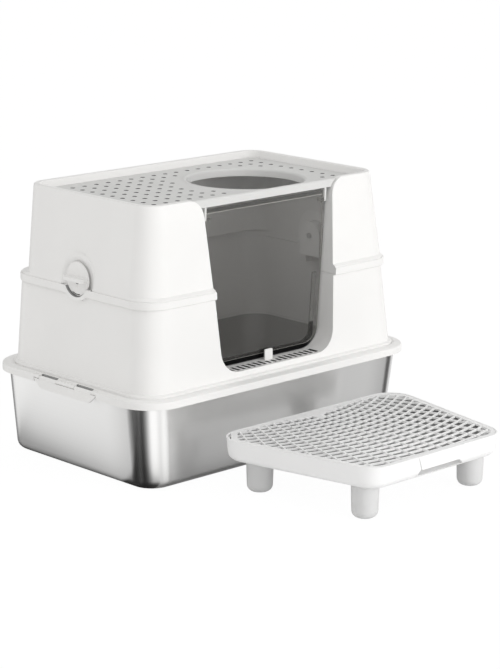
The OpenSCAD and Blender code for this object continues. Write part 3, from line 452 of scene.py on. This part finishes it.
# the seal's legs above SEAL_LEG_FROM, which take painted shade in grey
def seal_leg(face, at):
    return at.z > SEAL_LEG_FROM


def panel_zone(face, at):
    """1 for the panel's edges and the line along its head, painted bright as highlight; 2 for the
    strip over it, painted darker as shade.
    """
    if abs(face.normal.y) < 0.5 or between(at.z, PANEL_LINE):
        return 1
    return 2 * int(at.z > PANEL_LINE[1])


SHADED = {
    "lid_plate": (drain_wall, "drain_hole_shade"),
    "lower_shell": (slot_or_cup_wall, "shade", "tray_shade"),
    "collar": (clip_slot_wall, "clip_slot_shade"),
    "step_tray": (tray_inside, "tray_shade"),
    "door_seal": (seal_leg, "leg_grey"),
    "door_panel": (panel_zone, "panel_painted_highlight", "panel_head_shade"),
}
UP, BACK, ALONG = (0, 0, 1), (0, 1, 0), (1, 0, 0)
# Planes that split a piece's faces, so that painted shade or highlight can start there
SPLITS = {
    "step_tray": [((0, TRAY_FROM_Y * MM, 0), BACK)],
    "door_panel": [((0, 0, z * MM), UP) for z in PANEL_LINE],
    "door_seal": [((0, 0, SEAL_LEG_FROM * MM), UP)],
}

# ---- soft-edged copies of the solids ----------------------------------------------------

WELD = 1e-5
FLAT = math.radians(0.6)
SHARP = math.radians(32)
# Rounding of each copied solid's edges, in metres
EDGE_ROUNDS = {
    "collar": 0.0006, "left_clip": 0.0005, "right_clip": 0.0005, "lower_shell": 0.0010,
    "upper_shell": 0.0010, "lid_plate": 0.0004, "door_panel": 0.0005, "door_seal": 0.0003,
    "latch_tab": 0.0007, "left_knob": 0.0005, "right_knob": 0.0005, "left_cam": 0.0004,
    "right_cam": 0.0004, "left_lock_case": 0.0006, "right_lock_case": 0.0006,
    "left_knob_screw": 0.0002, "right_knob_screw": 0.0002, "step_tray": 0.0005,
    "step_grid": 0.0004, "step_leg_front_left": 0.0006, "step_leg_front_right": 0.0006,
    "step_leg_back_left": 0.0006, "step_leg_back_right": 0.0006,
}


def softened(name, width):
    """A CAD solid's copy with its loose triangles joined and its edges rounded."""
    bm = bmesh.new()
    bm.from_mesh(NODES[name].data)
    bmesh.ops.remove_doubles(bm, verts=bm.verts, dist=WELD)
    bmesh.ops.dissolve_limit(bm, angle_limit=FLAT, verts=bm.verts, edges=bm.edges)
    sharp = [e for e in bm.edges if len(e.link_faces) == 2 and e.calc_face_angle(0) > SHARP]
    for at, normal in SPLITS.get(name, ()):
        cut(bm, at, normal)
    # faces that a test in SHADED picks take painted shade or highlight
    finish, *looks = SHADED.get(name, (None,))
    if finish:
        for face in bm.faces:
            face.material_index = int(finish(face, face.calc_center_median() / MM))
    bmesh.ops.bevel(bm, geom=sharp, offset=width, offset_type="OFFSET", affect="EDGES",
                    segments=2, profile=0.5, material=-1, clamp_overlap=True)
    slot = SLOT_OF[name]
    made = shown(bm, name + "_skin", BODY_OF[name], LOOKS[slot], slot, name)
    for look in looks:
        made.data.materials.append(LOOKS[look])


# ---- the steel pan ----------------------------------------------------------------------

CORNER_STEPS = 7
PAN_FOOT = (272, 173.5, 181, 41)     # half length, front, back and corner at the floor
PAN_TOP = (289.1, 184.8, 181, 47)    # the same at the flange
PAN_H = 141
PAN_ROUND = 15                       # between the floor and the walls
ROUND_STEPS = 8
WALL_FROM = PAN_ROUND + 9
STEEL = 1.0
FLANGE = 6
CURL = 3.5
EASE = 45                            # the walls take up the corners' curve over this length
# How far the flange stands out and how high, from its underside over the curl to the top
LIP = [(FLANGE - 2.5, PAN_H - STEEL), (FLANGE - STEEL, PAN_H - STEEL - 1.5),
       (FLANGE - STEEL, PAN_H - CURL), (FLANGE, PAN_H - CURL), (FLANGE, PAN_H - 1.5),
       (FLANGE - 0.6, PAN_H - 0.4), (FLANGE - 1.8, PAN_H), (-STEEL, PAN_H)]


def outline(bm, section):
    """Face of a rounded rectangle: half length, front, back, corner and height."""
    half, front, back, corner, z = section
    known = set(bm.faces)
    made = bmesh.ops.create_grid(bm, x_segments=1, y_segments=1, size=1)["verts"]
    for vert in made:
        vert.co = (half * vert.co.x, back if vert.co.y > 0 else -front, z)
    bmesh.ops.bevel(bm, geom=made, offset=corner, offset_type="OFFSET", affect="VERTICES",
                    segments=CORNER_STEPS, profile=0.5, material=-1, clamp_overlap=False)
    return [face for face in bm.faces if face not in known][0]


def skin(sections):
    """Closed skin through rounded rectangles from the first to the last."""
    bm = bmesh.new()
    ends = [outline(bm, section) for section in sections]
    rings = [list(face.edges) for face in ends]
    bmesh.ops.delete(bm, geom=ends[1:-1], context="FACES_ONLY")
    for low, high in zip(rings, rings[1:]):
        bmesh.ops.bridge_loops(bm, edges=low + high)
    bmesh.ops.recalc_face_normals(bm, faces=bm.faces)
    return bm


def pan_section(z, out):
    """The pan's outline at a height, stepped out all round."""
    share = z / PAN_H
    at = [low + (high - low) * share for low, high in zip(PAN_FOOT, PAN_TOP)]
    return (*(v + out for v in at), z)


def foot_rounds(inset):
    """Outlines from the floor up to the walls, outside or, inset, inside the sheet."""
    r = PAN_ROUND - inset
    made = []
    for k in range(ROUND_STEPS + 1):
        turn = math.pi / 2 * k / ROUND_STEPS
        *sides, _ = pan_section(PAN_ROUND, -inset - r * (1 - math.sin(turn)))
        made.append((*sides, PAN_ROUND - r * math.cos(turn)))
    return made


def steel_pan():
    """The drawn pan as one smooth skin, its inside rougher and painted darker as shade."""
    walls = [pan_section(z, 0) for z in (WALL_FROM, PAN_H - STEEL - 6, PAN_H - STEEL)]
    lip = [(*pan_section(PAN_H, out)[:4], z) for out, z in LIP]
    inner = [pan_section(z, -STEEL) for z in (PAN_H - 6, WALL_FROM)]
    bm = skin(foot_rounds(0) + walls + lip + inner + foot_rounds(STEEL)[::-1])
    half, front, back, corner = PAN_FOOT
    for x in (-1, 1):
        cut(bm, (x * (half - corner - EASE), 0, 0), ALONG)
    for y in (-front + corner + EASE, back - corner - EASE):
        cut(bm, (0, y, 0), BACK)
    # faces inside the pan take the steel with painted shade
    for face in bm.faces:
        at = face.calc_center_median()
        inwards = face.normal.x * at.x + face.normal.y * at.y < -1e-3
        inside = at.z < PAN_H - STEEL - 1 and (inwards or face.normal.z > 0.3)
        face.material_index = int(inside)
    bmesh.ops.scale(bm, vec=(MM, MM, MM), verts=bm.verts)
    made = shown(bm, "pan_skin", "base", LOOKS["steel"], "steel", "steel_pan", even=False)
    made.data.materials.append(LOOKS["steel_inside_painted_shade"])


# ---- round the knobs ----------------------------------------------------------------------

KNOB_FACE = 268.1
SHADOW_LIFT = 0.12          # how far a painted shadow line stands on the face
SHADOW_ROOT = 0.3           # how far it goes in
# Dark lines painted on a knob's face as shadow, along its rim and under its fin. Name, radius,
# start, sweep and width; the angles are in degrees about X from +Y
PAINTED_SHADOWS = [("_knob_rim_shadow", 24.8, -62, -42, 1.6), ("_knob_fin_shadow", 7.6, -62, -50, 1.5)]
SCOOP_FLOOR = 262.1       # the recess's flat floor
SCOOP_RIM = 41.4
SCOOP_FOOT = 28.6
SCOOP_TURN = (-32, 244)   # start and sweep
SCOOP_STEPS = 10
SCOOP_TURN_STEPS = 60
SCOOP_PROUD = 0.03        # over the recess's floor
RIM_PROUD = 0.02          # and as much more over the wall
SMOOTH_BELOW = 0.7        # edges flatter than this, in radians, are shaded smooth
BAND_TOP = -13.4          # the band's top, from the knob's height
WALL_AT_KNOB = 267.35     # the cover's wall at the knob's height, and its lean
WALL_LEAN = 18 / 139.3


def swept(bm, profile, start, sweep, steps):
    """Sweeps a profile of (x, radius) points about X, from start, in degrees."""
    face = bm.faces.new([bm.verts.new((x, r, 0)) for x, r in profile])
    bmesh.ops.rotate(bm, verts=bm.verts, cent=(0, 0, 0),
                     matrix=Matrix.Rotation(math.radians(start), 3, "X"))
    bmesh.ops.spin(bm, geom=[face], cent=(0, 0, 0), axis=ALONG, dvec=(0, 0, 0),
                   angle=math.radians(sweep), steps=steps, use_merge=False)


def to_knob(bm, side):
    """Puts a shape made about X at a knob's height and side."""
    bmesh.ops.translate(bm, vec=(0, 0, KNOB_Z), verts=bm.verts)
    bmesh.ops.scale(bm, vec=(MM * side, MM, MM), verts=bm.verts)
    bmesh.ops.recalc_face_normals(bm, faces=bm.faces)


def arc_mark(word, name, radius, start, sweep, width):
    """A dark arc painted on a knob's face as shadow."""
    low, high = KNOB_FACE - SHADOW_ROOT, KNOB_FACE + SHADOW_LIFT
    near, far = radius - width / 2, radius + width / 2
    bm = bmesh.new()
    swept(bm, [(low, near), (high, near), (high, far), (low, far)], start, sweep,
          max(4, int(abs(sweep) / 6)))
    to_knob(bm, SIDES[word])
    shown(bm, word + name, word + "_knob", LOOKS["mark"], "cam_plastic")


def scoop_blend(word):
    """Soft slope from the cover's wall down to the floor of a knob's recess."""
    profile = []
    for k in range(SCOOP_STEPS + 1):
        share = k / SCOOP_STEPS
        profile.append((share * share * (3 - 2 * share),
                        SCOOP_FOOT + (SCOOP_RIM - SCOOP_FOOT) * share))
    profile.append((0, SCOOP_RIM))
    bm = bmesh.new()
    swept(bm, profile, *SCOOP_TURN, SCOOP_TURN_STEPS)
    cut(bm, (0, 0, BAND_TOP), (0, 0, -1), clear_outer=True)
    bmesh.ops.holes_fill(bm, edges=bm.edges)
    # its height so far is a share of the recess's depth
    for vert in bm.verts:
        wall = WALL_AT_KNOB - WALL_LEAN * vert.co.z
        vert.co.x = SCOOP_FLOOR + SCOOP_PROUD + vert.co.x * (wall - SCOOP_FLOOR + RIM_PROUD)
    to_knob(bm, SIDES[word])
    for edge in bm.edges:
        edge.smooth = edge.calc_face_angle(0) < SMOOTH_BELOW
    shown(bm, word + "_scoop_blend", "cover", LOOKS["shell_plastic"], "shell_plastic")


# ---- the scene ------------------------------------------------------------------------------

bpy.context.scene.view_settings.view_transform = "Standard"
camera()
world()
floor()
for settings in LAMPS:
    lamp(*settings)
for name, part in NODES.items():
    part.data.materials[0] = LOOKS[SLOT_OF[name]]
for name, width in EDGE_ROUNDS.items():
    softened(name, width)
steel_pan()
for word in SIDES:
    scoop_blend(word)
    for mark in PAINTED_SHADOWS:
        arc_mark(word, *mark)
